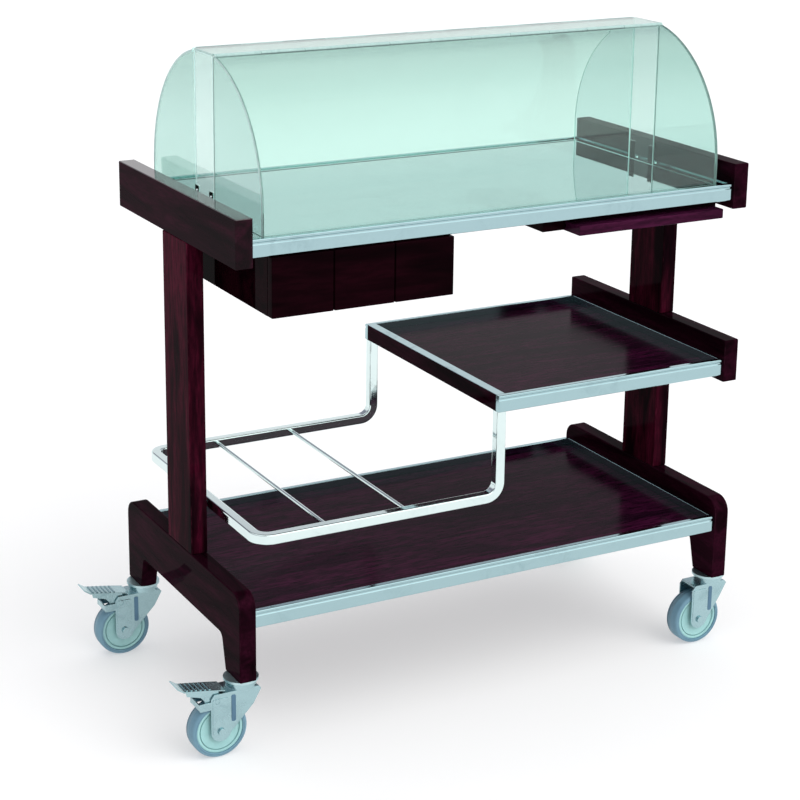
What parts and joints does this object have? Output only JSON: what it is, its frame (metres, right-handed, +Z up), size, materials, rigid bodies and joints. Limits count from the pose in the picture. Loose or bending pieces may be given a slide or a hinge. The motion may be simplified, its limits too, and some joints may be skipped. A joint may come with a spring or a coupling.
{
  "type": "dessert trolley",
  "caption": "Wooden dessert trolley with a clear domed cover over a mirror tray, cutlery drawers, pull-out board, two shelves and a bottle rail on swivel casters.",
  "frame": {"origin": "on the floor under the middle of the overall box, brake pedals included", "axes": "+Z up, +X along the length to the end with the middle rail, -Y to the front, where the drawers and the board open"},
  "size_m": [1.111, 0.5, 1.1434],
  "materials": {
    "dark_wood": "gloss lacquer",
    "red_wood": "gloss lacquer",
    "board_wood": "gloss lacquer",
    "plain_wood": "satin",
    "stainless": "polished",
    "mirror_sheet": "mirror polished",
    "chrome": "polished",
    "clear_sheet": "clear, gloss",
    "zinc": "bright zinc",
    "hub": "satin",
    "tyre": "satin"
  },
  "bodies": {
    "frame": {"left_foot_beam": "dark_wood", "left_post": "dark_wood", "left_top_rail": "dark_wood", "right_foot_beam": "dark_wood", "right_post_lower": "dark_wood", "right_mid_rail": "dark_wood", "right_post_upper": "dark_wood", "right_top_rail": "dark_wood", "frame_dowels": "plain_wood", "shelf_screws": "stainless", "tray_frame": "stainless", "tray_deck": "dark_wood", "tray_mirror": "mirror_sheet", "mid_shelf_frame": "stainless", "mid_shelf_panel": "red_wood", "bottom_shelf_frame": "stainless", "bottom_shelf_panel": "red_wood", "guard_rail": "chrome", "guard_rods": "chrome", "guard_spacers": "chrome", "drawer_case": "dark_wood", "board_cleats": "dark_wood", "dome_left_upright": "clear_sheet", "dome_right_upright": "clear_sheet", "dome_top_strip": "clear_sheet", "dome_brackets": "stainless", "hinge_rods": "stainless", "caster_heads": "chrome"},
    "left_drawer": {"left_drawer_box": "plain_wood", "left_drawer_front": "dark_wood"},
    "middle_drawer": {"middle_drawer_box": "plain_wood", "middle_drawer_front": "dark_wood"},
    "right_drawer": {"right_drawer_box": "plain_wood", "right_drawer_front": "dark_wood"},
    "serving_board": {"serving_board": "board_wood"},
    "front_cover": {"front_cover_shell": "clear_sheet", "front_cover_ends": "clear_sheet"},
    "back_cover": {"back_cover_shell": "clear_sheet", "back_cover_ends": "clear_sheet"},
    "left_front_swivel": {"left_front_fork": "zinc", "left_front_axle": "zinc"},
    "left_front_wheel": {"left_front_wheel": "hub", "left_front_tyre": "tyre"},
    "left_back_swivel": {"left_back_fork": "zinc", "left_back_axle": "zinc"},
    "left_back_wheel": {"left_back_wheel": "hub", "left_back_tyre": "tyre"},
    "right_front_swivel": {"right_front_fork": "zinc", "right_front_axle": "zinc"},
    "right_front_wheel": {"right_front_wheel": "hub", "right_front_tyre": "tyre"},
    "right_back_swivel": {"right_back_fork": "zinc", "right_back_axle": "zinc"},
    "right_back_wheel": {"right_back_wheel": "hub", "right_back_tyre": "tyre"},
    "left_front_brake": {"left_front_brake": "zinc"},
    "left_back_brake": {"left_back_brake": "zinc"}
  },
  "joints": [
    {"name": "left_drawer_slide", "type": "slide", "parent": "frame", "child": "left_drawer", "axis": [0, -1, 0], "range_m": [0, 0.3]},
    {"name": "middle_drawer_slide", "type": "slide", "parent": "frame", "child": "middle_drawer", "axis": [0, -1, 0], "range_m": [0, 0.3]},
    {"name": "right_drawer_slide", "type": "slide", "parent": "frame", "child": "right_drawer", "axis": [0, -1, 0], "range_m": [0, 0.3]},
    {"name": "serving_board_slide", "type": "slide", "parent": "frame", "child": "serving_board", "axis": [0, -1, 0], "range_m": [0, 0.25]},
    {"name": "front_cover_hinge", "type": "hinge", "parent": "frame", "child": "front_cover", "pos_m": [0.0455, -0.0471, 1.13937], "axis": [-1, 0, 0], "range_deg": [0, 100]},
    {"name": "back_cover_hinge", "type": "hinge", "parent": "frame", "child": "back_cover", "pos_m": [0.0455, 0.0371, 1.13937], "axis": [1, 0, 0], "range_deg": [0, 100]},
    {"name": "left_front_swivel_turn", "type": "hinge", "parent": "frame", "child": "left_front_swivel", "pos_m": [-0.4345, -0.219, 0.12], "axis": [0, 0, 1], "continuous": true},
    {"name": "left_front_wheel_spin", "type": "hinge", "parent": "left_front_swivel", "child": "left_front_wheel", "pos_m": [-0.4795, -0.219, 0.05], "axis": [0, 1, 0], "continuous": true},
    {"name": "left_back_swivel_turn", "type": "hinge", "parent": "frame", "child": "left_back_swivel", "pos_m": [-0.4345, 0.219, 0.12], "axis": [0, 0, 1], "continuous": true},
    {"name": "left_back_wheel_spin", "type": "hinge", "parent": "left_back_swivel", "child": "left_back_wheel", "pos_m": [-0.4795, 0.219, 0.05], "axis": [0, 1, 0], "continuous": true},
    {"name": "right_front_swivel_turn", "type": "hinge", "parent": "frame", "child": "right_front_swivel", "pos_m": [0.5255, -0.219, 0.12], "axis": [0, 0, 1], "continuous": true},
    {"name": "right_front_wheel_spin", "type": "hinge", "parent": "right_front_swivel", "child": "right_front_wheel", "pos_m": [0.4945, -0.219, 0.05], "axis": [0, 1, 0], "continuous": true},
    {"name": "right_back_swivel_turn", "type": "hinge", "parent": "frame", "child": "right_back_swivel", "pos_m": [0.5255, 0.219, 0.12], "axis": [0, 0, 1], "continuous": true},
    {"name": "right_back_wheel_spin", "type": "hinge", "parent": "right_back_swivel", "child": "right_back_wheel", "pos_m": [0.4945, 0.219, 0.05], "axis": [0, 1, 0], "continuous": true},
    {"name": "left_front_brake_pedal", "type": "hinge", "parent": "left_front_swivel", "child": "left_front_brake", "pos_m": [-0.4865, -0.219, 0.106], "axis": [0, -1, 0], "range_deg": [0, 10]},
    {"name": "left_back_brake_pedal", "type": "hinge", "parent": "left_back_swivel", "child": "left_back_brake", "pos_m": [-0.4865, 0.219, 0.106], "axis": [0, -1, 0], "range_deg": [0, 10]}
  ]
}
